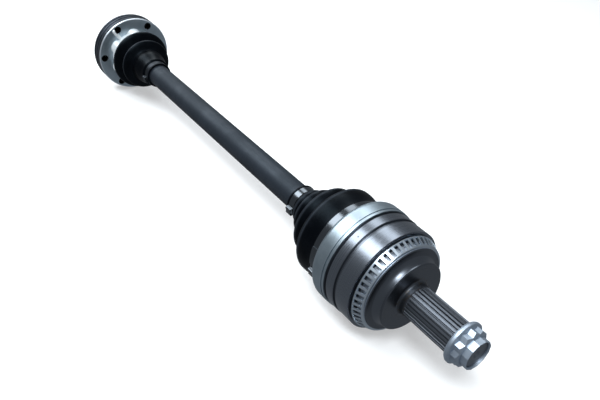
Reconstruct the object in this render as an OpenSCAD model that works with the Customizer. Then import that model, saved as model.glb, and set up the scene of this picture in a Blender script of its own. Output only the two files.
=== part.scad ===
// Drive shaft for one rear wheel: a solid bar between two ball joints.
// The flange joint (plunging) bolts to the final drive, the bell joint (fixed) carries the wheel hub.
// +X runs along the bar from the flange to the splined stub, +Z is up.
// The origin is the centre of the bolt circle on the flange's mounting face.

/* [Bar] */
// Distance between the centres of the two joints
joint_span = 536; // [440:1:700]
// Diameter of the bar
bar_d = 27.5; // [25:0.5:29]
// Outside diameter of the splines that carry the two races
race_spline_d = 25.8; // [24:0.2:26]
// Diameter of the shoulder that each race seats against
shoulder_d = 31; // [30:0.5:34]
// Width of that shoulder
shoulder_w = 4; // [3:0.5:6]
// Length of bar past each race, with the clip groove in it
clip_end = 4; // [3.5:0.5:6]

/* [Balls and cages] */
// Diameter of a ball, the same in both joints
ball_d = 18; // [17:0.1:18.4]
// Gap between faces that move on each other
run_gap = 0.3; // [0.2:0.05:0.4]
// Gap between parts that are pressed or slid together
fit_gap = 0.05; // [0.02:0.01:0.1]
// Extra length of a cage window along the rim
window_extra = 2.4; // [1:0.2:4]

/* [Flange joint] */
// Diameter of the flange
flange_d = 100; // [98:0.5:110]
// Width of the outer ring along the shaft
ring_w = 20.5; // [18:0.5:24]
// Bolt circle diameter
bolt_pcd = 86; // [85:0.5:88]
// Bolt hole diameter
bolt_hole_d = 8.4; // [7:0.1:9]
// Pitch circle diameter of the balls
inner_pcd = 55; // [54:0.5:56]
// Bore of the outer ring, where the cage slides
ring_bore_d = 65; // [64:0.5:66]
// Width of each of the two grooves round the ring's rim
rim_groove_w = 3; // [2:0.5:4]
// Depth of those grooves
rim_groove_depth = 1.2; // [0.6:0.1:1.5]
// Distance from the mounting face to the first groove
rim_groove_x = 4; // [2:0.5:5]
// Distance from one groove to the next
rim_groove_step = 6; // [4.5:0.5:6]
// Diameter of the inner race
inner_race_d = 46.4; // [45:0.2:47]
// Width of the inner race
inner_race_w = 24; // [22:0.5:26]
// Bore of the cage
inner_cage_bore = 53.2; // [52.6:0.1:54]
// Width of the cage
inner_cage_w = 27; // [25:0.5:28]

/* [Flange covers] */
// Sheet thickness of both covers
cover_sheet = 1; // [0.8:0.1:1.5]
// Length of the cover's rim that laps over the ring
cover_lap = 4; // [3:0.5:5]
// Corner radius of the cover's front rim
cover_corner = 1.5; // [1.2:0.1:2.5]
// Height of the star-shaped boss on the cover
boss_h = 9.5; // [7:0.5:12]
// Diameter across the boss between the bolts
boss_lobe_d = 74; // [70:0.5:76]
// Radius of each lobe of the boss
boss_lobe_r = 11; // [9:0.5:12]
// How far each lobe leans in from foot to top
boss_lean = 5; // [3:0.5:6]
// Opening in the boss for the boot
boss_open_d = 58; // [56:0.5:58.5]
// Diameter of the pressed vent rib beside one bolt hole
rib_d = 5; // [3:0.5:6]
// Depth of the domed cover on the final drive side
dome_depth = 19; // [18:0.5:26]

/* [Bell joint] */
// Pitch circle diameter of the balls
outer_pcd = 65.2; // [64:0.2:67]
// Diameter of the spherical inner race
outer_race_d = 59.2; // [57:0.2:59.4]
// Width of the inner race
outer_race_w = 25; // [22:0.5:27]
// Wall of the cage
outer_cage_t = 5.2; // [4.5:0.1:5.6]
// Width of the cage
outer_cage_w = 28; // [26:0.5:30]
// Sideways room for a ball in its track when the joint bends
track_room = 0.7; // [0.6:0.1:1]

/* [Bell] */
// Distance from the joint centre to the bell's mouth
mouth_x = 22; // [20:0.5:24]
// Diameter of the seat under the sheet cap
cap_seat_d = 99.4; // [99:0.2:101]
// Diameter of the narrow polished band
band_1_d = 100; // [98:0.5:102]
// Diameter of the wide polished band
band_2_d = 98.8; // [98:0.2:101]
// Diameter in the grooves beside the bands
groove_d = 96.6; // [94:0.2:97]
// Gap between the sheet cap's seat and the narrow band
cap_gap = 1.8; // [1.4:0.1:3]
// Width of the narrow band
band_1_w = 9.5; // [7:0.5:11]
// Width of the groove between the bands
groove_w = 2.7; // [2:0.1:4]
// Width of the wide band
band_2_w = 16.5; // [13:0.5:18]
// Gap between the wide band and the sensor ring
sensor_gap = 2; // [1.4:0.1:3]
// Diameter of the step in that gap
sensor_step_d = 90; // [86:0.5:91]
// Diameter of the seat under the sensor ring
sensor_seat_d = 82; // [80:0.5:84]
// Diameter of the neck behind the shoulder
neck_d = 60; // [54:0.5:62]
// Radius of the hollow curve that runs into the neck
neck_curve = 9; // [8:0.5:9.5]
// Diameter of the shoulder that seats in the hub bearing
hub_shoulder_d = 66.6; // [64:0.2:70]
// Width of that shoulder
hub_shoulder_w = 2.1; // [1.6:0.1:4]

/* [Stub] */
// Diameter over the spline teeth
stub_d = 30; // [28:0.5:32]
// Depth of the spline teeth
tooth_depth = 1.4; // [1:0.1:1.8]
// Number of spline teeth
stub_teeth = 27; // [20:1:34]
// Length of the spline
spline_len = 47; // [40:1:60]
// Thread diameter under the nut
thread_d = 24; // [20:1:24]
// Length of the plain root between the shoulder and the spline
root_len = 6.6; // [5:0.2:9]

/* [Nut] */
// Size across the flats of the twelve-point nut
nut_af = 30; // [29:0.5:32]
// Diameter of the nut's flange
nut_flange_d = 38.6; // [37:0.2:44]
// Height of the flange with its cone
nut_flange_h = 5.75; // [5:0.25:8]
// Height of the twelve-point part
nut_h = 5.9; // [5:0.1:9]
// Height of the locking collar
collar_h = 6; // [4:0.5:8]
// Diameter of the locking collar
collar_d = 27.2; // [26.6:0.2:28.4]

/* [Sensor ring] */
// Number of windows
window_count = 50; // [40:1:54]
// Width of the front lip, from the seat to the cone
sensor_lip_w = 2.3; // [2:0.1:3]
// How far the back edge stands out past the front edge
sensor_flare = 3.5; // [2.5:0.1:4]
// Length along the shaft
sensor_w = 9; // [8:0.5:11]
// Sheet thickness
sensor_sheet = 1.2; // [1:0.1:1.6]
// Share of the pitch that a window takes
window_share = 0.62; // [0.4:0.01:0.66]

/* [Bell cap] */
// Sheet thickness
cap_sheet = 1.5; // [1.2:0.1:1.6]
// Diameter of the neck under the boot
cap_neck_d = 80.6; // [79:0.2:81]
// Length of the neck
cap_neck_len = 8.8; // [8:0.2:12]
// Corner radius of the shoulder
cap_corner = 7.5; // [5:0.5:8]
// Length of the cap's skirt on the bell
cap_skirt = 12.8; // [11:0.2:14]
// Width of the bead at the skirt's edge
cap_bead_w = 2.4; // [2:0.1:5]

/* [Boots and clamps] */
// Diameter over the bell boot's largest fold
outer_fold_d = 91; // [88:0.5:96]
// Diameter over the flange boot's largest fold
inner_fold_d = 78; // [70:0.5:84]
// Wall of the rubber boots
boot_wall = 2.2; // [1.8:0.1:2.4]
// Width of the small clamps
clamp_w = 7.2; // [6:0.2:9]
// Width of the large clamp
large_clamp_w = 8; // [7:0.2:8.4]
// Thickness of the clamp band
band_t = 0.8; // [0.6:0.1:1]
// Place of the bell boot's small end, back from the joint centre
outer_boot_reach = 116; // [108:1:120]
// Place of the flange boot's small end, from the joint centre
inner_boot_reach = 93; // [86:1:98]

/* [Hidden] */
$fn = 96;

ball_count = 6;
ball_step = 360 / ball_count;
first_ball = 90;
bolt_count = 6;
cut = 1;

inner_x = ring_w / 2;
outer_x = inner_x + joint_span;
bar_r = bar_d / 2;
ball_r = ball_d / 2;
track_r = ball_r + run_gap;

race_teeth = 26;
race_tooth_depth = 1;
clip_w = 1.6;
clip_depth = 1.1;
clip_overhang = 1.6;
edge = 0.8;
band_edge = 0.5;

inner_cage_d = ring_bore_d - 2 * run_gap - 0.4;
inner_track_drop = 0.35;
rebate_d = inner_pcd + ball_d + 2 * run_gap + 2.2;
dome_rim = 1.6;
dome_d = rebate_d - 2 * dome_rim;
boss_top = cover_sheet + boss_h;
boss_core_d = 2 * (sqrt(pow(inner_cage_d, 2) - pow(ring_w, 2)) / 2 + run_gap + cover_sheet);

bell_bore_d = outer_race_d + 2 * outer_cage_t + 4 * run_gap + 0.4;
cage_bore_d = outer_race_d + 2 * run_gap;
track_back = 32;
track_front = 62;
track_through = 45;

// Bell stations, measured from the joint centre towards the stub
seat_end = -11;
band_1_start = seat_end + cap_gap;
band_1_end = band_1_start + band_1_w;
band_2_start = band_1_end + groove_w;
band_2_end = band_2_start + band_2_w;
sensor_start = band_2_end + sensor_gap;
sensor_end = sensor_start + sensor_w;
front_x = sensor_end + 1.4;
shoulder_x = front_x + neck_curve - 1.2;
face_x = shoulder_x + hub_shoulder_w;
spline_start = face_x + root_len;
spline_end = spline_start + spline_len;
nut_x = spline_end + 0.2;
nut_collar_x = nut_x + nut_flange_h + nut_h;
nut_end = nut_collar_x + collar_h;
stub_end = nut_end - 1.8;
root_d = stub_d - 2 * tooth_depth;

// Cap stations on the bell
cap_end = seat_end - 0.2;
cap_corner_x = cap_end - cap_skirt;
cap_face_x = cap_corner_x - cap_corner;
cap_neck_x = cap_face_x - cap_neck_len;
cap_skirt_r = cap_seat_d / 2 + fit_gap + cap_sheet;
cap_neck_r = cap_neck_d / 2;

// Boots: folds as [share of the free length, share of the height over the bar's grip]
grip_r = bar_r + boot_wall;
clamp_groove = 0.6;
clamp_room = 0.1;
groove_slope = 0.8;
lip_w = 1.6;
lip_rise = 0.5;
free_rise = 0.8;
foot_w = 2.6;
outer_folds = [[0.07, 0.12], [0.14, 0.09], [0.22, 0.32], [0.33, 0.27], [0.46, 0.68], [0.58, 0.6], [0.74, 1]];
inner_folds = [[0.18, 1], [0.33, 0.48], [0.46, 0.74], [0.6, 0.28], [0.98, 0.1]];

// Places a boot's folds between the end of its free length at the bar and the other end
function fold_path(folds, start, end, crest_r) = [
    for (f = folds) [start + f[0] * (end - start), grip_r + f[1] * (crest_r - grip_r)]
];

// The bell boot, measured from the joint centre: lip, clamp groove, folds, seat on the cap
outer_grip = -outer_boot_reach;
outer_clamp_x = outer_grip + lip_w + groove_slope + clamp_room;
outer_free_x = outer_clamp_x + clamp_w + clamp_room + groove_slope;
outer_seat_r = cap_neck_r + run_gap + boot_wall;
outer_seat_x = cap_face_x - large_clamp_w - 2 * run_gap;
outer_boot_path = concat(
    [[outer_grip, grip_r + lip_rise], [outer_grip + lip_w, grip_r + lip_rise],
    [outer_clamp_x - clamp_room, grip_r - clamp_groove],
    [outer_clamp_x + clamp_w + clamp_room, grip_r - clamp_groove],
    [outer_free_x, grip_r + free_rise]],
    fold_path(outer_folds, outer_free_x, outer_seat_x, outer_fold_d / 2),
    [[outer_seat_x, outer_seat_r], [cap_face_x - run_gap, outer_seat_r]]
);

// The flange boot: seat on the boss, folds, clamp groove, lip
inner_seat_x = ring_w + cover_sheet + boss_h;
inner_seat_r = boss_open_d / 2 + foot_w;
inner_end_x = inner_x + inner_boot_reach;
inner_clamp_x = inner_end_x - lip_w - groove_slope - clamp_room - clamp_w;
inner_free_x = inner_clamp_x - clamp_room - groove_slope;
inner_boot_path = concat(
    [[inner_seat_x + run_gap, inner_seat_r], [inner_seat_x + foot_w, inner_seat_r]],
    fold_path(inner_folds, inner_seat_x + foot_w, inner_free_x, inner_fold_d / 2),
    [[inner_free_x, grip_r + free_rise], [inner_clamp_x - clamp_room, grip_r - clamp_groove],
    [inner_clamp_x + clamp_w + clamp_room, grip_r - clamp_groove],
    [inner_end_x - lip_w, grip_r + lip_rise], [inner_end_x, grip_r + lip_rise]]
);
wave_steps = 5;

steel = [0.46, 0.47, 0.5];
dark_steel = [0.2, 0.21, 0.23];
zinc = [0.68, 0.72, 0.75];
black_rubber = [0.06, 0.06, 0.07];
bar_paint = [0.25, 0.28, 0.32];

// Shared shapes

// Turns a shape drawn about Z so that its height runs along the shaft
module along_x(place = 0) {
    translate([place, 0, 0]) rotate([0, 90, 0]) children();
}

// Copies a shape that points along +Y to an angle round the shaft, counted from +Y to +Z
module at_angle(angle) {
    rotate([angle, 0, 0]) children();
}

// Repeats a shape at every ball
module at_balls() {
    for (i = [0 : ball_count - 1]) at_angle(first_ball + i * ball_step) children();
}

// Section of a tooth ring: a polygon with straight-sided teeth, their tips and feet as shares of the pitch
function tooth_ring(teeth, tip_r, root_r, tip_share, foot_share) = [
    for (i = [0 : teeth - 1])
        let (pitch = 360 / teeth, mid = i * pitch, tip = tip_share * pitch / 2, foot = foot_share * pitch / 2)
        for (p = [[root_r, mid - foot], [tip_r, mid - tip], [tip_r, mid + tip], [root_r, mid + foot]])
            p[0] * [cos(p[1]), sin(p[1])]
];

module race_spline(length, gap = 0) {
    tip_r = race_spline_d / 2 + gap;
    linear_extrude(length)
        polygon(tooth_ring(race_teeth, tip_r, tip_r - race_tooth_depth, 0.34 + 0.1 * gap, 0.72));
}

// Ball track bent round the joint centre, swept from one angle to another in the plane of its ball
module bent_track(pcd, from, to) {
    rotate_extrude(angle = to - from, start = from) track_section(pcd / 2, track_room);
}

module track_section(radius, room) {
    translate([radius, -room]) square([track_r, 2 * room]);
    translate([radius - track_r, -room]) square([track_r, 2 * room]);
    for (side = [-1, 1]) translate([radius, side * room]) circle(track_r);
}

// Straight ball track along the shaft
module straight_track(radius, length) {
    along_x(-length / 2) translate([0, radius, 0]) cylinder(h = length, r = track_r);
}

// Opening for a ball in a cage, longer round the rim than along the shaft
module cage_window(inside_r) {
    translate([0, inside_r - ball_r * 2 / 3, 0]) rotate([-90, 0, 0]) linear_extrude(ball_d) {
        square([2 * track_r, window_extra], center = true);
        for (side = [-1, 1]) translate([0, side * window_extra / 2]) circle(track_r);
    }
}

// Snap ring in a groove of the bar, open on one side
module circlip(place) {
    outer = race_spline_d / 2 - race_tooth_depth + clip_overhang;
    inner = race_spline_d / 2 - race_tooth_depth - clip_depth + fit_gap;
    opening = 24;
    color(steel) along_x(place) rotate_extrude(angle = 360 - opening, start = opening / 2)
        translate([inner, 0]) square([outer - inner, clip_w]);
}

// Smooth wave through crests and valleys
function wave(path) = concat(
    [for (i = [0 : len(path) - 2]) for (k = [0 : wave_steps - 1])
        let (t = k / wave_steps, a = path[i], b = path[i + 1])
        [a[0] + (b[0] - a[0]) * t, a[1] + (b[1] - a[1]) * (1 - cos(180 * t)) / 2]],
    [path[len(path) - 1]]
);

// Rubber bellows turned from a path, with an even wall and a bore that fits the bar
module bellows(path, place) {
    outside = wave(path);
    last = len(outside) - 1;
    bore = bar_r + fit_gap;
    along_x(place) rotate_extrude() polygon(concat(
        [for (p = outside) [p[1], p[0]]],
        [for (i = [last : -1 : 0]) [max(outside[i][1] - boot_wall, bore), outside[i][0]]]
    ));
}

// Section of a hose clamp across the shaft: a closed band with a pinched ear at an angle
module ear_clamp(inside_r, ear_angle) {
    ear_w = 8;
    ear_h = 3.6;
    bend_r = ear_w / 5;
    outside_r = inside_r + band_t;
    difference() {
        union() {
            circle(outside_r);
            rotate(ear_angle) {
                translate([outside_r - 0.5, -ear_w / 2]) square([ear_h + 0.5 - bend_r, ear_w]);
                for (side = [-1, 1])
                    translate([outside_r + ear_h - bend_r, side * (ear_w / 2 - bend_r)]) circle(bend_r);
                translate([outside_r, bend_r - ear_w / 2]) square([ear_h - 0.3, ear_w - 2 * bend_r]);
            }
        }
        rotate(ear_angle) translate([outside_r, band_t - ear_w / 2])
            square([ear_h - 0.3 - band_t, ear_w - 2 * band_t]);
        circle(inside_r);
    }
}

// Bar

// Splined end with a plain groove for the snap ring
module bar_end(length) {
    groove_x = length - clip_end;
    translate([0, 0, -cut]) race_spline(groove_x + cut);
    cylinder(h = length, r = race_spline_d / 2 - race_tooth_depth - clip_depth);
    translate([0, 0, groove_x + clip_w + 2 * fit_gap]) race_spline(clip_end - clip_w - 2 * fit_gap);
}

module axle_bar() {
    inner_shoulder = inner_x + inner_race_w / 2 + fit_gap;
    outer_shoulder = outer_x - outer_race_w / 2 - fit_gap;
    length = outer_shoulder - inner_shoulder;
    shoulder_r = shoulder_d / 2;
    slope = 2 * (shoulder_r - bar_r);
    color(bar_paint) {
        along_x(inner_shoulder) rotate_extrude() polygon([
            [0, 0], [shoulder_r - edge, 0], [shoulder_r, edge], [shoulder_r, shoulder_w],
            [bar_r, shoulder_w + slope], [bar_r, length - shoulder_w - slope],
            [shoulder_r, length - shoulder_w], [shoulder_r, length - edge],
            [shoulder_r - edge, length], [0, length]
        ]);
        along_x(outer_shoulder) bar_end(outer_race_w + clip_end + fit_gap);
        mirror([1, 0, 0]) along_x(-inner_shoulder) bar_end(inner_race_w + clip_end + fit_gap);
    }
}

// Flange joint

module inner_race() {
    r = inner_race_d / 2;
    w = inner_race_w / 2;
    color(steel) translate([inner_x, 0, 0]) difference() {
        along_x() rotate_extrude() polygon([
            [0, -w], [r - edge, -w], [r, edge - w], [r, w - edge], [r - edge, w], [0, w]
        ]);
        along_x(-w - cut) race_spline(inner_race_w + 2 * cut, fit_gap);
        at_balls() straight_track(inner_pcd / 2 - inner_track_drop, inner_race_w + 2 * cut);
    }
}

module inner_circlip() {
    circlip(inner_x - inner_race_w / 2 - fit_gap - clip_w);
}

module inner_cage() {
    color(dark_steel) translate([inner_x, 0, 0]) difference() {
        along_x() rotate_extrude() intersection() {
            circle(d = inner_cage_d);
            translate([inner_cage_bore / 2, -inner_cage_w / 2]) square([inner_cage_d, inner_cage_w]);
        }
        at_balls() cage_window(inner_cage_bore / 2);
    }
}

module ball(joint_x, pcd, number) {
    angle = first_ball + (number - 1) * ball_step;
    color(steel) translate([joint_x, 0, 0]) at_angle(angle) translate([0, pcd / 2, 0]) sphere(d = ball_d);
}

module bolt_holes(from, to) {
    for (i = [0 : bolt_count - 1])
        at_angle(i * 360 / bolt_count) along_x(from)
            translate([0, bolt_pcd / 2, 0]) cylinder(h = to - from, d = bolt_hole_d);
}

module inner_ring() {
    r = flange_d / 2;
    lap_r = r - cover_sheet;
    lap_x = ring_w + cover_sheet - cover_lap - fit_gap;
    slant = rim_groove_depth / 2;
    floor_r = r - rim_groove_depth;
    color(dark_steel) difference() {
        along_x() rotate_extrude() polygon([
            [ring_bore_d / 2, 0], [r - edge, 0], [r, edge],
            for (x = [rim_groove_x, rim_groove_x + rim_groove_step]) each [
                [r, x], [floor_r, x + slant], [floor_r, x + rim_groove_w - slant], [r, x + rim_groove_w]
            ],
            [r, lap_x], [lap_r - fit_gap, lap_x],
            [lap_r - fit_gap, ring_w - edge], [lap_r - edge, ring_w], [ring_bore_d / 2, ring_w]
        ]);
        along_x(-cut) cylinder(h = cover_sheet + 0.2 + cut, d = rebate_d);
        translate([inner_x, 0, 0]) at_balls() straight_track(inner_pcd / 2, ring_w + 2 * cut);
        bolt_holes(-cut, ring_w + cut);
    }
}

// Radius of a boss lobe at a height over the ring
function lobe_r(height) = boss_lobe_r - boss_lean * height / boss_top;

// The boss between two heights, a round core with a leaning lobe between each pair of bolts
module boss(from, to, inset) {
    translate([0, 0, from]) cylinder(h = to - from, r = boss_core_d / 2 - inset);
    for (i = [0 : bolt_count - 1])
        rotate((i + 0.5) * 360 / bolt_count) translate([boss_lobe_d / 2 - boss_lobe_r, 0, from])
            cylinder(h = to - from, r1 = lobe_r(from) - inset, r2 = lobe_r(to) - inset);
}

module inner_boot_cap() {
    r = flange_d / 2;
    plate_x = ring_w + cover_sheet;
    boss_x = ring_w + boss_top;
    rib_angle = 127;
    color(zinc) difference() {
        union() {
            along_x() rotate_extrude() {
                translate([0, ring_w]) square([r - cover_corner, cover_sheet]);
                translate([r - cover_sheet, plate_x - cover_lap])
                    square([cover_sheet, cover_lap - cover_corner]);
                translate([r - cover_corner, plate_x - cover_corner]) intersection() {
                    difference() {
                        circle(cover_corner);
                        circle(cover_corner - cover_sheet);
                    }
                    square(cover_corner);
                }
            }
            along_x(ring_w) rotate(90) boss(0, boss_top, 0);
            at_angle(rib_angle) translate([plate_x - 0.2, boss_core_d / 2 - 2, 0])
                vent_rib(r - 3 - boss_core_d / 2);
        }
        along_x(ring_w) rotate(90) boss(-cut, boss_h, cover_sheet);
        along_x() cylinder(h = boss_x + cut, d = boss_open_d);
        bolt_holes(0, plate_x + cut);
    }
}

// Half-round pressed rib with a round end, pointing outwards along +Y
module vent_rib(length) {
    intersection() {
        union() {
            rotate([-90, 0, 0]) cylinder(h = length, d = rib_d);
            translate([0, length, 0]) sphere(d = rib_d);
        }
        translate([0, -rib_d, -rib_d]) cube([rib_d, length + 2 * rib_d, 2 * rib_d]);
    }
}

module inner_end_cap() {
    rim_r = rebate_d / 2 - fit_gap;
    dome_r = dome_d / 2;
    top_r = dome_r - 6;
    sheet = cover_sheet;
    color(zinc) along_x() rotate_extrude() polygon([
        [0, 0.2 - dome_depth], [top_r, 0.2 - dome_depth], [dome_r, 0.2 - dome_depth + 6],
        [dome_r, 0.2], [rim_r, 0.2], [rim_r, 0.2 + sheet - fit_gap], [dome_r - sheet, 0.2 + sheet - fit_gap],
        [dome_r - sheet, 0.2 - dome_depth + 6.4], [top_r - 0.4, 0.2 - dome_depth + sheet],
        [0, 0.2 - dome_depth + sheet]
    ]);
}

module inner_boot() {
    spigot = 4;
    spigot_r = boss_open_d / 2 - run_gap;
    color(black_rubber) {
        bellows(inner_boot_path, 0);
        along_x(inner_seat_x) rotate_extrude() polygon([
            [spigot_r - boot_wall, -spigot], [spigot_r, -spigot], [spigot_r, run_gap],
            [inner_seat_r - edge, run_gap], [inner_seat_r - edge, foot_w - edge],
            [spigot_r - boot_wall, foot_w - edge]
        ]);
    }
}

module inner_boot_clamp() {
    color(zinc) along_x(inner_clamp_x) linear_extrude(clamp_w)
        ear_clamp(grip_r - clamp_groove + fit_gap, 285);
}

// Bell joint

module outer_race() {
    color(steel) translate([outer_x, 0, 0]) difference() {
        along_x() rotate_extrude() intersection() {
            circle(d = outer_race_d);
            translate([0, -outer_race_w / 2]) square([outer_race_d, outer_race_w]);
        }
        along_x(-outer_race_w / 2 - cut) race_spline(outer_race_w + 2 * cut, fit_gap);
        at_balls() bent_track(outer_pcd, 90 - track_through, 90 + track_through);
    }
}

module outer_circlip() {
    circlip(outer_x + outer_race_w / 2 + fit_gap);
}

module outer_cage() {
    outside = cage_bore_d + 2 * outer_cage_t;
    color(dark_steel) translate([outer_x, 0, 0]) difference() {
        along_x() rotate_extrude() intersection() {
            difference() {
                circle(d = outside);
                circle(d = cage_bore_d);
            }
            translate([0, -outer_cage_w / 2]) square([outside, outer_cage_w]);
        }
        at_balls() cage_window(cage_bore_d / 2);
    }
}

module outer_boot() {
    color(black_rubber) bellows(outer_boot_path, outer_x);
}

module outer_small_clamp() {
    color(zinc) along_x(outer_x + outer_clamp_x) linear_extrude(clamp_w)
        ear_clamp(grip_r - clamp_groove + fit_gap, 280);
}

// Stepless band whose outer end laps over the band, with the ear behind the lap
module outer_large_clamp() {
    inside_r = outer_seat_r + fit_gap;
    lap_r = inside_r + 2 * band_t;
    lap_angle = 253;
    lap_turn = 24;
    color(zinc) along_x(outer_x + outer_seat_x + run_gap) linear_extrude(large_clamp_w) {
        ear_clamp(inside_r, lap_angle + 36);
        intersection() {
            difference() {
                circle(lap_r);
                circle(inside_r + band_t / 2);
            }
            polygon([[0, 0], for (a = [lap_angle, lap_angle + lap_turn]) 2 * lap_r * [cos(a), sin(a)]]);
        }
    }
}

// Section of the sheet cap's outside, or of its inside when inset by the sheet
module cap_section(inset, over) {
    corner_r = cap_skirt_r - cap_corner;
    translate([0, cap_neck_x - over]) square([cap_neck_r - inset, cap_neck_len + cap_corner + over]);
    translate([0, cap_face_x + inset]) square([corner_r, cap_end - cap_face_x - inset + over]);
    translate([0, cap_corner_x]) square([cap_skirt_r - inset, cap_end - cap_corner_x + over]);
    translate([corner_r, cap_corner_x]) circle(cap_corner - inset);
}

module outer_boot_cap() {
    crimp = 0.7;
    crimp_w = 1;
    color(zinc) along_x(outer_x) rotate_extrude() intersection() {
        difference() {
            cap_section(0, 0);
            cap_section(cap_sheet, cut);
            translate([cap_skirt_r - crimp, cap_end - cap_bead_w - crimp_w]) square([crimp + cut, crimp_w]);
            translate([cap_skirt_r - 0.3, cap_end - cap_bead_w]) square([cut, cap_bead_w + cut]);
        }
        translate([0, cap_neck_x]) square([cap_skirt_r + cut, cap_end - cap_neck_x]);
    }
}

// Half section of the bell and its stub, from the mouth to the thread
module bell_section() {
    seat_r = cap_seat_d / 2;
    groove_r = groove_d / 2;
    band_1_r = band_1_d / 2;
    band_2_r = band_2_d / 2;
    step_r = sensor_step_d / 2;
    sensor_r = sensor_seat_d / 2;
    neck_r = neck_d / 2;
    difference() {
        union() {
            polygon([
                [0, -mouth_x], [seat_r - edge, -mouth_x], [seat_r, edge - mouth_x], [seat_r, seat_end],
                [groove_r, seat_end], [groove_r, band_1_start], [band_1_r - band_edge, band_1_start],
                [band_1_r, band_1_start + band_edge], [band_1_r, band_1_end - band_edge],
                [band_1_r - band_edge, band_1_end], [groove_r, band_1_end], [groove_r, band_2_start],
                [band_2_r - band_edge, band_2_start], [band_2_r, band_2_start + band_edge],
                [band_2_r, band_2_end - band_edge], [band_2_r - band_edge, band_2_end],
                [step_r, band_2_end], [step_r, sensor_start - run_gap], [sensor_r, sensor_start - run_gap],
                [sensor_r, front_x - edge], [sensor_r - edge, front_x], [0, front_x]
            ]);
            translate([0, front_x - cut]) square([neck_r + neck_curve - 1, shoulder_x - front_x + cut]);
        }
        translate([neck_r + neck_curve, front_x + neck_curve - 0.2]) circle(neck_curve);
    }
    shoulder_r = hub_shoulder_d / 2;
    polygon([
        [0, shoulder_x], [shoulder_r - edge / 2, shoulder_x], [shoulder_r, shoulder_x + edge / 2],
        [shoulder_r, face_x - edge], [shoulder_r - edge, face_x], [0, face_x]
    ]);
    root_r = stub_d / 2 + 0.5;
    polygon(concat([[0, face_x - cut]],
        [for (a = [0 : 15 : 90]) [root_r + 2.5 - 2.5 * sin(a), face_x + 2.5 - 2.5 * cos(a)]],
        [[root_r, spline_start - 1], [root_d / 2 - 0.1, spline_start + 1],
        [root_d / 2 - 0.1, spline_end - 0.5], [thread_d / 2, spline_end - 0.5],
        [thread_d / 2, stub_end - edge],
        [thread_d / 2 - edge, stub_end], [0, stub_end]]
    ));
}

module stub_spline() {
    intersection() {
        linear_extrude(spline_end - spline_start + 2)
            polygon(tooth_ring(stub_teeth, stub_d / 2, root_d / 2, 0.5, 0.78));
        rotate_extrude() polygon([
            [0, 0], [stub_d / 2, 0], [stub_d / 2, spline_len + 2 - tooth_depth],
            [root_d / 2 - 0.2, spline_len + 2], [0, spline_len + 2]
        ]);
    }
}

module bell() {
    centre_hole_d = 7;
    mouth_cone = 5;
    mouth_d = bell_bore_d * 0.9;
    color(steel) translate([outer_x, 0, 0]) difference() {
        union() {
            along_x() rotate_extrude() difference() {
                bell_section();
                circle(d = bell_bore_d);
                polygon([
                    [0, -mouth_x - cut], [mouth_d / 2 + cut, -mouth_x - cut],
                    [mouth_d / 2 - 4, mouth_cone - mouth_x], [0, mouth_cone - mouth_x]
                ]);
                polygon([
                    [0, stub_end - centre_hole_d / 2], [centre_hole_d / 2 + cut, stub_end + cut],
                    [0, stub_end + cut]
                ]);
            }
            along_x(spline_start - 2) stub_spline();
        }
        at_balls() bent_track(outer_pcd, 90 - track_back, 90 + track_front);
    }
}

module sensor_ring() {
    seat_r = sensor_seat_d / 2 + fit_gap;
    front_r = seat_r + sensor_lip_w;
    back_r = front_r + sensor_flare;
    lip = 0.9;
    back_lip = 0.8;
    window_w = window_share * 2 * PI * front_r / window_count;
    color(zinc) along_x(outer_x + sensor_start) difference() {
        rotate_extrude() polygon([
            [back_r - sensor_sheet, 0], [back_r, 0], [front_r, sensor_w - 0.4], [front_r - 0.4, sensor_w],
            [seat_r, sensor_w], [seat_r, sensor_w - lip], [front_r - sensor_sheet, sensor_w - lip]
        ]);
        for (i = [0 : window_count - 1])
            rotate(i * 360 / window_count) translate([seat_r + 0.6, -window_w / 2, back_lip])
                cube([back_r, window_w, sensor_w - lip - back_lip - 0.2]);
    }
}

module axle_nut() {
    point_r = nut_af / 2 / cos(30);
    rim_r = nut_flange_d / 2;
    bore_r = thread_d / 2 + fit_gap;
    top = nut_flange_h + nut_h;
    color(zinc) along_x(outer_x + nut_x) difference() {
        union() {
            rotate_extrude() polygon([
                [0, 0], [rim_r - 1, 0], [rim_r, 1.5], [rim_r, nut_flange_h - 2.2],
                [rim_r - 0.6, nut_flange_h - 1.6], [nut_af / 2, nut_flange_h], [0, nut_flange_h]
            ]);
            intersection() {
                linear_extrude(top) for (turn = [0, 30]) rotate(turn) circle(r = point_r, $fn = 6);
                rotate_extrude() polygon([
                    [0, 0], [point_r, 0], [point_r, top - 1.8], [point_r - 2.6, top], [0, top]
                ]);
            }
            translate([0, 0, top - cut]) rotate(15) cylinder(h = collar_h + cut, d = collar_d, $fn = 12);
        }
        translate([0, 0, -cut]) cylinder(h = top + collar_h + 2 * cut, r = bore_r);
        translate([0, 0, top + collar_h - 1])
            cylinder(h = 1 + 0.01, r1 = bore_r, r2 = bore_r + 0.6);
    }
}

axle_bar();
inner_race();
inner_circlip();
inner_cage();
for (i = [1 : ball_count])
    ball(inner_x, inner_pcd, i);
inner_ring();
inner_boot_cap();
inner_end_cap();
inner_boot();
inner_boot_clamp();
outer_race();
outer_circlip();
outer_cage();
for (i = [1 : ball_count])
    ball(outer_x, outer_pcd, i);
outer_boot();
outer_small_clamp();
outer_large_clamp();
outer_boot_cap();
bell();
sensor_ring();
axle_nut();
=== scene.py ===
import math

import bpy
from mathutils import Matrix, Vector


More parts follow.
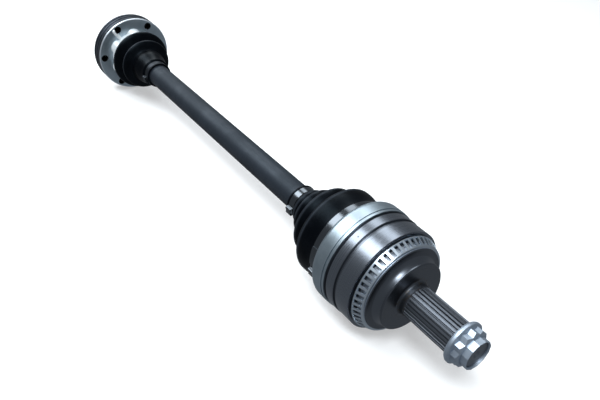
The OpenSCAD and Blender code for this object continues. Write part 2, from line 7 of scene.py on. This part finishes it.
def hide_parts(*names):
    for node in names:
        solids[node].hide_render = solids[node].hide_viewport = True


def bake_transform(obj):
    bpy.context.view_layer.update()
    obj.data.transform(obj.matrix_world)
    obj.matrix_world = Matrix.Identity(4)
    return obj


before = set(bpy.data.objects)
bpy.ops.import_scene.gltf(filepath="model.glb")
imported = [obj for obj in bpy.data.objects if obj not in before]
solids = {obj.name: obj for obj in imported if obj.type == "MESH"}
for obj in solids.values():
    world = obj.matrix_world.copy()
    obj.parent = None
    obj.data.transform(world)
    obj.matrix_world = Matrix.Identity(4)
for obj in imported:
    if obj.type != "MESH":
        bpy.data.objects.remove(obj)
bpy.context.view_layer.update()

# Bar
# A forged steel bar between the two joints, turned at both ends and sprayed with satin grey paint.
# The coat is thin and even, with a slight orange-peel skin and faint handling marks.


def new_finish(name, plain):
    """A new finish with plain values on its own shader; gives the material, its tree and its shader."""
    material = bpy.data.materials.new(name)
    material.use_nodes = True
    shader = material.node_tree.nodes["Principled BSDF"]
    for socket, value in plain.items():
        shader.inputs[socket].default_value = value
    return material, material.node_tree, shader


def add(tree, kind, *wired, **settings):
    """A new node; wired holds its inputs in order, as sockets, plain values or None."""
    node = tree.nodes.new("ShaderNode" + kind)
    for name, value in settings.items():
        setattr(node, name, value)
    for socket, value in zip(node.inputs, wired):
        if isinstance(value, bpy.types.NodeSocket):
            tree.links.new(value, socket)
        elif value is not None:
            socket.default_value = value
    return node


def span(tree, value, start, end, low=0.0, high=1.0, **settings):
    """A number that runs from low to high while value runs from start to end."""
    return add(tree, "MapRange", value, start, end, low, high, **settings).outputs["Result"]


def effect(name, inputs, outputs):
    """An empty node group with number sockets; gives the group, its input sockets and its output sockets."""
    group = bpy.data.node_groups.new(name, "ShaderNodeTree")
    for socket in inputs:
        group.interface.new_socket(socket, in_out="INPUT", socket_type="NodeSocketFloat")
    for socket in outputs:
        group.interface.new_socket(socket, in_out="OUTPUT", socket_type="NodeSocketFloat")
    return group, group.nodes.new("NodeGroupInput").outputs, group.nodes.new("NodeGroupOutput").inputs


def place_effect(tree, group, *values):
    """Places an effect in a finish with its own values and gives what it puts out."""
    node = tree.nodes.new("ShaderNodeGroup")
    node.node_tree = group
    for socket, value in zip(node.inputs, values):
        socket.default_value = value
    return node.outputs


def dress(material, *names):
    """Gives solids their finish."""
    for name in names:
        for holder in solids[name].material_slots:
            holder.material = material


def tint(tree, shader, mask, low, high):
    """Colours a surface between two tones by a mask."""
    mix = add(tree, "Mix", data_type="RGBA")
    tree.links.new(mask, mix.inputs["Factor"])
    mix.inputs["A"].default_value = (*low, 1)
    mix.inputs["B"].default_value = (*high, 1)
    tree.links.new(mix.outputs["Result"], shader.inputs["Base Color"])
    return mix


def sheen(tree, shader, mask, low, high):
    """Varies the roughness between two values by a mask."""
    tree.links.new(span(tree, mask, 0.0, 1.0, low, high), shader.inputs["Roughness"])


def relief(tree, shader, height, strength, depth):
    """Raises a fine relief from a height."""
    bump = add(tree, "Bump", strength, depth)
    tree.links.new(height, bump.inputs["Height"])
    tree.links.new(bump.outputs["Normal"], shader.inputs["Normal"])


clouds, clouds_in, clouds_out = effect("clouds", ["Per Metre", "Low", "High"], ["Mask"])
clouds_place = add(clouds, "TexCoord").outputs["Object"]
clouds_noise = add(clouds, "TexNoise", clouds_place, None, clouds_in["Per Metre"], 5.0, 0.6)
clouds_mask = span(clouds, clouds_noise.outputs["Fac"], clouds_in["Low"], clouds_in["High"],
                   interpolation_type="SMOOTHSTEP")
clouds.links.new(clouds_mask, clouds_out["Mask"])

skin, skin_in, skin_out = effect("skin", ["Per Metre"], ["Height"])
skin_place = add(skin, "TexCoord").outputs["Object"]
skin_noise = add(skin, "TexNoise", skin_place, None, skin_in["Per Metre"], 2.0, 0.5)
skin.links.new(skin_noise.outputs["Fac"], skin_out["Height"])

bar_paint, tree, shader = new_finish("satin_grey_paint", {
    "Specular IOR Level": 0.3, "Specular Tint": (0.72, 0.87, 1.0, 1)})
handling = place_effect(tree, clouds, 34.0, 0.36, 0.66)["Mask"]
tint(tree, shader, handling, (0.008, 0.0105, 0.0153), (0.0108, 0.014, 0.02))
sheen(tree, shader, handling, 0.6, 0.48)
relief(tree, shader, place_effect(tree, skin, 900.0)["Height"], 0.12, 0.0004)
dress(bar_paint, "axle_bar")

# Ring, races and cages
# Hardened steel rings, turned, heat-treated and ground where the balls run, dark with oil.
# The races sit on the bar's splines and the snap rings lock them.

bolt_count = 6
bolt_circle_radius = 0.043
hole_wall = (0.0046, 0.005)


def reckon(tree, operation, *wired):
    """One step of arithmetic on numbers."""
    return add(tree, "Math", *wired, operation=operation).outputs["Value"]


def measure(tree, operation, *wired):
    """The length of a vector, or the distance between two."""
    return add(tree, "VectorMath", *wired, operation=operation).outputs["Value"]


turned, turned_in, turned_out = effect("turned", ["Per Metre"], ["Lines", "Along", "Radius"])
turned_split = add(turned, "SeparateXYZ", add(turned, "TexCoord").outputs["Object"]).outputs
turned_across = add(turned, "CombineXYZ", 0.0, turned_split["Y"], turned_split["Z"]).outputs["Vector"]
turned_radius = measure(turned, "LENGTH", turned_across)
turned_path = reckon(turned, "ADD", turned_split["X"], turned_radius)
turned_noise = add(turned, "TexNoise", None, turned_path, turned_in["Per Metre"], 3.0, 0.6,
                   noise_dimensions="1D")
turned.links.new(turned_noise.outputs["Fac"], turned_out["Lines"])
turned.links.new(turned_split["X"], turned_out["Along"])
turned.links.new(turned_radius, turned_out["Radius"])

bolt_hole, _, bolt_hole_out = effect("bolt_hole", [], ["Mask"])
hole_split = add(bolt_hole, "SeparateXYZ", add(bolt_hole, "TexCoord").outputs["Object"]).outputs
hole_turn = reckon(bolt_hole, "ARCTAN2", hole_split["Z"], hole_split["Y"])
hole_count = reckon(bolt_hole, "MULTIPLY", hole_turn, bolt_count / (2 * math.pi))
hole_near = reckon(bolt_hole, "ROUND", hole_count)
hole_angle = reckon(bolt_hole, "MULTIPLY", hole_near, 2 * math.pi / bolt_count)
hole_y = reckon(bolt_hole, "MULTIPLY", reckon(bolt_hole, "COSINE", hole_angle), bolt_circle_radius)
hole_z = reckon(bolt_hole, "MULTIPLY", reckon(bolt_hole, "SINE", hole_angle), bolt_circle_radius)
hole_axis = add(bolt_hole, "CombineXYZ", 0.0, hole_y, hole_z).outputs["Vector"]
hole_flat = add(bolt_hole, "CombineXYZ", 0.0, hole_split["Y"], hole_split["Z"]).outputs["Vector"]
hole_off = measure(bolt_hole, "DISTANCE", hole_flat, hole_axis)
bolt_hole.links.new(span(bolt_hole, hole_off, *hole_wall, 1.0, 0.0), bolt_hole_out["Mask"])


def layer(tree, shader, mask, colour):
    """Lays one more tone over a finish where the mask shows."""
    under = shader.inputs["Base Color"].links[0].from_socket
    over = tint(tree, shader, mask, (0, 0, 0), colour)
    tree.links.new(under, over.inputs["A"])


def turned_steel(name, dark, light, rough_low, rough_high, lines_per_metre):
    """Lathe-turned steel: fine rings from the tool, with an oil film in patches."""
    material, tree, shader = new_finish(name, {"Metallic": 1.0})
    lines = place_effect(tree, turned, lines_per_metre)["Lines"]
    film = place_effect(tree, clouds, 60.0, 0.38, 0.68)["Mask"]
    tint(tree, shader, film, dark, light)
    sheen(tree, shader, lines, rough_low, rough_high)
    relief(tree, shader, lines, 0.1, 0.0002)
    return material, tree, shader


def shade_bolt_holes(tree, shader):
    """Paints the bolt holes' walls black and without gloss, as painted shade inside the holes; gives where
    the metal is bare.
    """
    inside = place_effect(tree, bolt_hole)["Mask"]
    layer(tree, shader, inside, (0.002, 0.002, 0.002))
    bare = span(tree, inside, 0.0, 1.0, 1.0, 0.0)
    tree.links.new(bare, shader.inputs["Metallic"])
    shader.inputs["Specular IOR Level"].default_value = 0.0
    return bare


ring_steel, tree, shader = turned_steel(
    "oiled_ring_steel", (0.034, 0.041, 0.053), (0.062, 0.072, 0.09), 0.3, 0.44, 1500.0)
shade_bolt_holes(tree, shader)
dress(ring_steel, "inner_ring")
race_steel, _, _ = turned_steel(
    "ground_race_steel", (0.42, 0.43, 0.45), (0.55, 0.56, 0.58), 0.14, 0.28, 2600.0)
dress(race_steel, "inner_race", "outer_race")
cage_steel, _, _ = turned_steel(
    "phosphated_cage_steel", (0.05, 0.05, 0.055), (0.09, 0.09, 0.1), 0.38, 0.55, 900.0)
dress(cage_steel, "inner_cage", "outer_cage")
snap_ring_steel, _, _ = turned_steel(
    "snap_ring_steel", (0.12, 0.12, 0.13), (0.2, 0.2, 0.21), 0.3, 0.45, 1200.0)
dress(snap_ring_steel, "inner_circlip", "outer_circlip")

# Balls
# Through-hardened bearing balls, lapped to a mirror, six in each joint.
# They run in a film of grease between the two races.

ball_count = 6
ball_steel, tree, shader = new_finish("lapped_ball_steel", {"Metallic": 1.0})
grease = place_effect(tree, clouds, 120.0, 0.5, 0.72)["Mask"]
tint(tree, shader, grease, (0.78, 0.79, 0.81), (0.55, 0.5, 0.42))
sheen(tree, shader, grease, 0.05, 0.2)
for ball in range(1, ball_count + 1):
    dress(ball_steel, f"inner_ball_{ball}", f"outer_ball_{ball}")

# Sheet covers, bell cap and sensor ring
# Pressed from sheet steel and zinc plated, blue-grey with a soft bloom and faint drawing lines.
# The covers are sealed to the ring, the cap is crimped on the bell and the sensor ring pressed on.

lap_shade = (0.02, 0.0203)
boss_start = (0.0217, 0.0222)
plate_rim_highlight = (0.0485, 0.0489)
boss_metal = 0.35


def zinc_sheet(name, dark, light, rough_low, rough_high):
    """Zinc-plated pressed sheet: a soft bloom over fine drawing lines."""
    material, tree, shader = new_finish(name, {"Metallic": 1.0})
    bloom = place_effect(tree, clouds, 55.0, 0.15, 0.85)["Mask"]
    drawn = place_effect(tree, turned, 700.0)
    tint(tree, shader, bloom, dark, light)
    sheen(tree, shader, reckon(tree, "MULTIPLY", bloom, drawn["Lines"]), rough_low, rough_high)
    relief(tree, shader, drawn["Lines"], 0.04, 0.0002)
    return material, tree, shader, drawn


cover_zinc, tree, shader, drawn = zinc_sheet(
    "cover_zinc", (0.37, 0.441, 0.495), (0.475, 0.552, 0.61), 0.42, 0.52)
# The boss walls are painted near-white and half matte, as a painted highlight on the pressed zinc.
boss_wall_highlight = span(tree, drawn["Along"], *boss_start)
layer(tree, shader, boss_wall_highlight, (0.78, 0.82, 0.84))
# The plate's rim is painted light, as a painted highlight along its edge.
layer(tree, shader, span(tree, drawn["Radius"], *plate_rim_highlight), (0.75, 0.8, 0.85))
# The cover's lap over the ring is painted near-black, as painted shade.
layer(tree, shader, span(tree, drawn["Along"], *lap_shade, 1.0, 0.0), (0.016, 0.019, 0.024))
bare = shade_bolt_holes(tree, shader)
matte = span(tree, boss_wall_highlight, 0.0, 1.0, 1.0, boss_metal)
tree.links.new(reckon(tree, "MULTIPLY", bare, matte), shader.inputs["Metallic"])
dress(cover_zinc, "inner_boot_cap")
dome_zinc = zinc_sheet("dome_zinc", (0.45, 0.49, 0.51), (0.55, 0.59, 0.61), 0.26, 0.4)[0]
dress(dome_zinc, "inner_end_cap")
cap_zinc = zinc_sheet("cap_zinc", (0.3, 0.36, 0.402), (0.39, 0.457, 0.503), 0.36, 0.5)[0]
dress(cap_zinc, "outer_boot_cap")
sensor_zinc = zinc_sheet("sensor_zinc", (0.47, 0.53, 0.59), (0.58, 0.645, 0.71), 0.3, 0.42)[0]
dress(sensor_zinc, "sensor_ring")

# Bell and stub
# One forging, turned all over: two ground bands, dark grooves, a black front face, a dark neck,
# a rolled spline and a cut thread for the nut. The first band has a punch mark, the root a stain.

tooth_tip = (0.0139, 0.0146)
punch_place = (0.5425, -0.027, 0.0421)
punch_edge = (0.0005, 0.0011)
root_edge = (0.018, 0.021)
line_roughness = 0.12


def zones(tree, along, stops):
    """Values along the shaft: each stop is a station in millimetres and the value that holds from there."""
    start, end = stops[0][0], stops[-1][0] + 1
    ramp = add(tree, "ValToRGB", span(tree, along, start / 1000, end / 1000))
    ramp.color_ramp.interpolation = "CONSTANT"
    marks = ramp.color_ramp.elements
    while len(marks) < len(stops):
        marks.new(1.0)
    for mark, (station, value) in zip(marks, stops):
        mark.position = (station - start) / (end - start)
        mark.color = (value, value, value, 1)
    return ramp.outputs["Color"]


bell_steel, tree, shader = new_finish("bell_steel", {"Metallic": 1.0})
lathe = place_effect(tree, turned, 1900.0)
# The tone stations paint shade into the two grooves, the gap behind the sensor ring, the disc face round the
# spline root and the stub's end inside the nut, and paint light onto the seat under the sensor ring's
# windows.
tone = zones(tree, lathe["Along"], [
    (520, 0.4), (535.25, 0.1), (537.05, 0.29), (546.55, 0.18), (549.25, 0.31), (565.75, 0.06),
    (567.45, 0.85), (577.2, 0.17), (578.4, 0.22), (585.8, 0.17), (588.2, 0.1), (594, 0.12),
    (642, 0.3), (664, 0.08)])
# The spline's tooth tips are painted lighter than the roots between them, as painted shade between the
# teeth.
spline = zones(tree, lathe["Along"], [(520, 0.0), (594, 0.075), (642, 0.0)])
tips = reckon(tree, "MULTIPLY", span(tree, lathe["Radius"], *tooth_tip), spline)
tone = reckon(tree, "ADD", tone, tips)
tint(tree, shader, tone, (0.012, 0.014, 0.019), (0.58, 0.635, 0.72))
punch_off = measure(tree, "DISTANCE", add(tree, "TexCoord").outputs["Object"], punch_place)
layer(tree, shader, span(tree, punch_off, *punch_edge, 1.0, 0.0), (0.07, 0.075, 0.085))
root = zones(tree, lathe["Along"], [(520, 0.0), (587.9, 0.8), (594.6, 0.0)])
stain = reckon(tree, "MULTIPLY", place_effect(tree, clouds, 260.0, 0.5, 0.66)["Mask"], root)
stain = reckon(tree, "MULTIPLY", stain, span(tree, lathe["Radius"], *root_edge, 1.0, 0.0))
layer(tree, shader, stain, (0.08, 0.068, 0.057))
dull = zones(tree, lathe["Along"], [
    (520, 0.3), (535.25, 0.34), (537.05, 0.22), (546.55, 0.24), (549.25, 0.22), (565.75, 0.45),
    (577.2, 0.34), (578.4, 0.24), (585.8, 0.24), (587.9, 0.4), (594, 0.45), (642, 0.36)])
fine = reckon(tree, "MULTIPLY_ADD", lathe["Lines"], line_roughness, dull)
tree.links.new(fine, shader.inputs["Roughness"])
relief(tree, shader, lathe["Lines"], 0.05, 0.0002)
dress(bell_steel, "bell")

# Boots
# Moulded black rubber bellows with a painted grey highlight along each crest, packed with grease and clamped
# at both ends.
# Each is spun from its half section and cut into rings at the given bends.

boot_wall = 2.2
boot_bore = 13.8
facet_length = 0.8
crest_fatness = 1.35
facets_round = 96
crest_highlight_reach = 0.0018
same_point = 1e-6


def bellows_outline(stations):
    """Half section of a bellows as rows of (along, outside, inside): fat crests, tight valleys."""
    rows = []
    for (x0, r0), (x1, r1) in zip(stations, stations[1:]):
        steps = max(3, round((abs(x1 - x0) + abs(r1 - r0)) / facet_length))
        for step in range(steps):
            way = step / steps
            rise = (1 - math.cos(math.pi * way)) / 2
            rise = 1 - (1 - rise) ** crest_fatness if r1 > r0 else rise ** crest_fatness
            rows.append((x0 + (x1 - x0) * way, r0 + (r1 - r0) * rise))
    rows.append(stations[-1])
    return [(x / 1000, r / 1000, max(r - boot_wall, boot_bore) / 1000) for x, r in rows]


def spin_section(name, rows):
    """A closed ring of rubber from a piece of the half section, spun round the shaft."""
    loop = [(x, 0, outside) for x, outside, _ in rows] + [(x, 0, inside) for x, _, inside in reversed(rows)]
    mesh = bpy.data.meshes.new(name)
    mesh.from_pydata(loop, [(i, (i + 1) % len(loop)) for i in range(len(loop))], [])
    piece = bpy.data.objects.new(name, mesh)
    bpy.context.collection.objects.link(piece)
    bpy.ops.object.select_all(action="DESELECT")
    bpy.context.view_layer.objects.active = piece
    piece.select_set(True)
    bpy.ops.object.mode_set(mode="EDIT")
    bpy.ops.mesh.select_all(action="SELECT")
    bpy.ops.mesh.spin(steps=facets_round, angle=2 * math.pi, center=(0, 0, 0), axis=(1, 0, 0))
    bpy.ops.mesh.select_all(action="SELECT")
    bpy.ops.mesh.remove_doubles(threshold=same_point)
    bpy.ops.mesh.normals_make_consistent(inside=False)
    bpy.ops.object.mode_set(mode="OBJECT")
    bpy.ops.object.shade_smooth_by_angle(angle=math.radians(50))
    return piece


def nearest(rows, stations):
    """The section's own stations nearest to the given ones, which are in millimetres."""
    return [min((row[0] for row in rows), key=lambda x: abs(x - station / 1000)) for station in stations]


def paint_crest_highlights(piece, rows):
    """Marks the crests of a boot, where a lighter grey is painted on as a highlight."""
    crests = [
        middle[0] for before, middle, after in zip(rows, rows[1:], rows[2:])
        if before[1] < middle[1] >= after[1]]
    marks = piece.data.attributes.new("crest_highlight", "FLOAT", "POINT")
    for vertex, mark in zip(piece.data.vertices, marks.data):
        gap = min(abs(vertex.co.x - crest) for crest in crests)
        mark.value = max(0.0, 1 - gap / crest_highlight_reach)


rubber, tree, shader = new_finish("moulded_rubber", {
    "Specular IOR Level": 0.08, "Specular Tint": (0.62, 0.82, 1.0, 1)})
bloom = place_effect(tree, clouds, 70.0, 0.4, 0.7)["Mask"]
tint(tree, shader, bloom, (0.0006, 0.0008, 0.0014), (0.0012, 0.0016, 0.0025))
crest_highlight = add(tree, "Attribute", attribute_name="crest_highlight").outputs["Fac"]
# Painted highlight: the crests are laid a lighter grey.
layer(tree, shader, crest_highlight, (0.015, 0.018, 0.023))
sheen(tree, shader, bloom, 0.33, 0.43)
relief(tree, shader, place_effect(tree, skin, 1600.0)["Height"], 0.12, 0.0004)


def fit_boot(name, node, rows, bends):
    """Cuts a boot into rings between the bends, spins each one and hides the boot node it stands in for."""
    bends = nearest(rows, bends)
    stations = [rows[0][0]] + bends[1:-1] + [rows[-1][0]]
    for number, (start, end) in enumerate(zip(stations, stations[1:])):
        ring = [row for row in rows if start - same_point <= row[0] <= end + same_point]
        piece = spin_section(f"{name}_{number + 1}", ring)
        paint_crest_highlights(piece, rows)
        piece.data.materials.append(rubber)
        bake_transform(piece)
        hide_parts(node)


outer_rows = bellows_outline([
    (430.25, 16.45), (431.85, 16.45), (432.65, 15.35), (440.05, 15.35), (440.85, 16.75), (445.4, 19.5),
    (450, 18.6), (455.2, 25.4), (462.4, 23.9), (470.9, 36), (478.7, 33.7), (489.2, 45.5),
    (506.15, 42.8), (514.45, 42.8)])
fit_boot("outer_boot_ring", "outer_boot", outer_rows, [455, 471, 481, 490, 505])

inner_rows = bellows_outline([
    (31.3, 31.6), (33.6, 31.6), (44.2, 39), (53.1, 27), (60.8, 33), (69, 22.4), (91.5, 18.3),
    (92.65, 16.75), (93.45, 15.35), (100.85, 15.35), (101.65, 16.45), (103.25, 16.45)])
fit_boot("inner_boot_ring", "inner_boot", inner_rows, [31.3, 38, 48, 56, 64, 103.25])

# Clamps
# Stainless bands closed on the rubber by their ears, with fine rolling lines round the band.
# The large one laps over itself, and the band of the flange boot is given a dark steel.

clamp_steel, tree, shader = new_finish("stainless_band", {"Metallic": 1.0})
rolled = place_effect(tree, turned, 2600.0)["Lines"]
tint(tree, shader, rolled, (0.085, 0.094, 0.105), (0.13, 0.142, 0.156))
sheen(tree, shader, rolled, 0.13, 0.24)
relief(tree, shader, rolled, 0.08, 0.0002)
dress(clamp_steel, "outer_small_clamp", "outer_large_clamp")
# The flange boot's band gets a dark turned steel.
dark_clamp_band, _, _ = turned_steel(
    "dark_band_steel", (0.03, 0.034, 0.04), (0.055, 0.062, 0.072), 0.38, 0.5, 2600.0)
dress(dark_clamp_band, "inner_boot_clamp")

# Nut
# A cold-formed twelve-point flange nut with a locking collar, zinc plated.
# It pulls the hub against the bell's shoulder.

nut_zinc = zinc_sheet("nut_zinc", (0.31, 0.36, 0.425), (0.51, 0.58, 0.668), 0.46, 0.58)[0]
dress(nut_zinc, "axle_nut")

# Floor, light and camera
# The shaft lies on a pale, faintly glowing studio floor under three soft boxes. The floor is left
# out of reflections, and the camera sees a backdrop as pale as the far floor.

floor_height = -0.0514
sky_light = (0.2125, 0.23, 0.25, 1)
sky_seen = (0.58, 0.58, 0.58, 1)
lamp_colour = (0.91, 0.965, 1.0)

floor_paint, _, _ = new_finish("studio_floor", {
    "Base Color": (0.6, 0.6, 0.6, 1), "Roughness": 0.9,
    "Emission Color": (1, 1, 1, 1), "Emission Strength": 0.42})
bpy.ops.object.select_all(action="DESELECT")
bpy.ops.mesh.primitive_plane_add(size=60, location=(0.3, 0, floor_height))
floor = bpy.context.object
floor.name = "floor"
floor.visible_glossy = False
floor.data.materials.append(floor_paint)

world = bpy.context.scene.world or bpy.data.worlds.new("studio")
bpy.context.scene.world = world
world.use_nodes = True
sky = world.node_tree
backdrop = add(sky, "Mix", data_type="RGBA")
sky.links.new(add(sky, "LightPath").outputs["Is Camera Ray"], backdrop.inputs["Factor"])
backdrop.inputs["A"].default_value = sky_light
backdrop.inputs["B"].default_value = sky_seen
sky.links.new(backdrop.outputs["Result"], sky.nodes["Background"].inputs["Color"])
sky.nodes["Background"].inputs["Strength"].default_value = 1.0


def soft_box(name, place, aim, size, energy):
    """A rectangular soft box that points from its place to its aim, long side along the shaft."""
    lamp = bpy.data.lights.new(name, "AREA")
    lamp.shape = "RECTANGLE"
    lamp.size, lamp.size_y = size
    lamp.energy = energy
    lamp.color = lamp_colour
    holder = bpy.data.objects.new(name, lamp)
    bpy.context.collection.objects.link(holder)
    back = (Vector(place) - Vector(aim)).normalized()
    side = Vector((1, 0, 0))
    side = (side - back * side.dot(back)).normalized()
    turn = Matrix((side, back.cross(side), back)).transposed()
    holder.matrix_world = Matrix.Translation(place) @ turn.to_4x4()


soft_box("key", (-0.45, -0.55, 1.3), (0.3, 0, 0), (2.2, 0.8), 37)
soft_box("front", (0.95, -0.4, 1.1), (0.58, 0, 0.03), (0.6, 0.4), 12)
soft_box("second", (-0.45, 0.6, 1.3), (0.3, 0, 0), (2.0, 0.6), 14)

camera = bpy.data.objects.new("camera", bpy.data.cameras.new("camera"))
bpy.context.collection.objects.link(camera)
camera.data.sensor_fit = "HORIZONTAL"
camera.data.sensor_width = 36
camera.data.lens = 36.63
camera.data.clip_start = 0.01
camera.matrix_world = Matrix((
    (0.574, -0.5056, 0.6441, 0.8166),
    (0.8143, 0.2702, -0.5136, -0.309),
    (0.0856, 0.8193, 0.5669, 0.3402),
    (0, 0, 0, 1),
))
bpy.context.scene.camera = camera
bpy.context.scene.view_settings.view_transform = "Standard"
